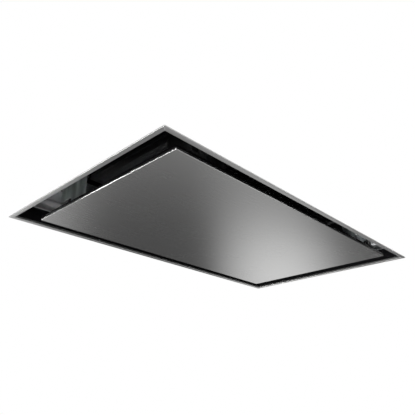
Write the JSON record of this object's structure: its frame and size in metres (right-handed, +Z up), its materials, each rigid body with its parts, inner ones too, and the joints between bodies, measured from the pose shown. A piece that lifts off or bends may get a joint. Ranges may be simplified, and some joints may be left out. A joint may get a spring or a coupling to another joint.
{
  "type": "ceiling range hood",
  "caption": "Flush ceiling extractor hood: steel trim, drop-down cover panel with a suction slot all round it, grease filters, fan, duct collar and hangers.",
  "frame": {"origin": "centre of the trim frame's underside, which lies against the room side of the ceiling", "axes": "+X along the long side, +Y towards the cover panel's hinge, +Z up into the ceiling"},
  "size_m": [0.9, 0.5, 0.299],
  "materials": {
    "brushed_steel": "brushed stainless, grain along each side",
    "satin_steel": "satin stainless, fine long grain",
    "polished_steel": "bright rolled stainless",
    "zinc_steel": "galvanised sheet with faint spangle",
    "black_steel": "black powder coat",
    "black_plastic": "moulded black plastic",
    "white_plastic": "moulded off-white plastic",
    "aluminium": "mill aluminium",
    "motor_grey": "cast and painted grey"
  },
  "bodies": {
    "housing": {"trim_frame": "brushed_steel", "mounting_frame": "black_steel", "ceiling_seal": "black_plastic", "canopy_shell": "zinc_steel", "filter_plate": "black_steel", "corner_bracket_left_front": "polished_steel", "corner_bracket_right_front": "polished_steel", "corner_bracket_left_rear": "polished_steel", "corner_bracket_right_rear": "polished_steel", "hinge_post_left": "black_plastic", "hinge_post_right": "black_plastic", "catch_post_left": "black_plastic", "catch_post_right": "black_plastic", "blower_box": "zinc_steel", "blower_lid": "zinc_steel", "blower_deck": "zinc_steel", "lid_screw_1": "zinc_steel", "lid_screw_2": "zinc_steel", "lid_screw_3": "zinc_steel", "lid_screw_4": "zinc_steel", "scroll_shell": "black_plastic", "inlet_ring": "black_plastic", "motor_body": "motor_grey", "motor_plate": "zinc_steel", "outlet_collar": "black_plastic", "flap_pin": "polished_steel", "electronics_box": "white_plastic", "electronics_cover": "white_plastic", "cable_gland": "black_plastic", "hanger_left_front": "zinc_steel", "hanger_right_front": "zinc_steel", "hanger_left_rear": "zinc_steel", "hanger_right_rear": "zinc_steel"},
    "cover_panel": {"panel_face": "satin_steel", "panel_backing": "black_steel", "hinge_leaf_left": "black_plastic", "hinge_leaf_right": "black_plastic", "hinge_pin_left": "polished_steel", "hinge_pin_right": "polished_steel", "catch_strike_left": "black_plastic", "catch_strike_right": "black_plastic"},
    "left_filter": {"filter_frame_left": "aluminium", "filter_core_left": "aluminium"},
    "right_filter": {"filter_frame_right": "aluminium", "filter_core_right": "aluminium"},
    "left_handle": {"filter_handle_left": "polished_steel"},
    "right_handle": {"filter_handle_right": "polished_steel"},
    "fan_wheel": {"impeller": "white_plastic", "motor_shaft": "polished_steel", "hub_nut": "polished_steel"},
    "front_flap": {"flap_front": "aluminium"},
    "rear_flap": {"flap_rear": "aluminium"}
  },
  "joints": [
    {"name": "panel_hinge", "type": "hinge", "parent": "housing", "child": "cover_panel", "pos_m": [0, 0.206, 0.024], "axis": [1, 0, 0], "range_deg": [0, 90]},
    {"name": "filter_tilt_left", "type": "hinge", "parent": "housing", "child": "left_filter", "pos_m": [-0.163, 0.1455, 0.1072], "axis": [1, 0, 0], "range_deg": [0, 10]},
    {"name": "filter_tilt_right", "type": "hinge", "parent": "housing", "child": "right_filter", "pos_m": [0.163, 0.1455, 0.1072], "axis": [1, 0, 0], "range_deg": [0, 10]},
    {"name": "handle_swing_left", "type": "hinge", "parent": "left_filter", "child": "left_handle", "pos_m": [-0.163, -0.1425, 0.09975], "axis": [1, 0, 0], "range_deg": [-70, 70]},
    {"name": "handle_swing_right", "type": "hinge", "parent": "right_filter", "child": "right_handle", "pos_m": [0.163, -0.1425, 0.09975], "axis": [1, 0, 0], "range_deg": [-70, 70]},
    {"name": "fan_spin", "type": "hinge", "parent": "housing", "child": "fan_wheel", "pos_m": [-0.07, 0.02, 0.19], "axis": [0, 0, 1], "continuous": true},
    {"name": "front_flap_swing", "type": "hinge", "parent": "housing", "child": "front_flap", "pos_m": [0.3263, -0.0786, 0.213], "axis": [0, 0, 1], "range_deg": [0, 75], "stiffness_Nm_per_rad": 0.01},
    {"name": "rear_flap_swing", "type": "hinge", "parent": "housing", "child": "rear_flap", "pos_m": [0.3263, -0.0786, 0.213], "axis": [0, 0, -1], "range_deg": [0, 75], "stiffness_Nm_per_rad": 0.01}
  ]
}
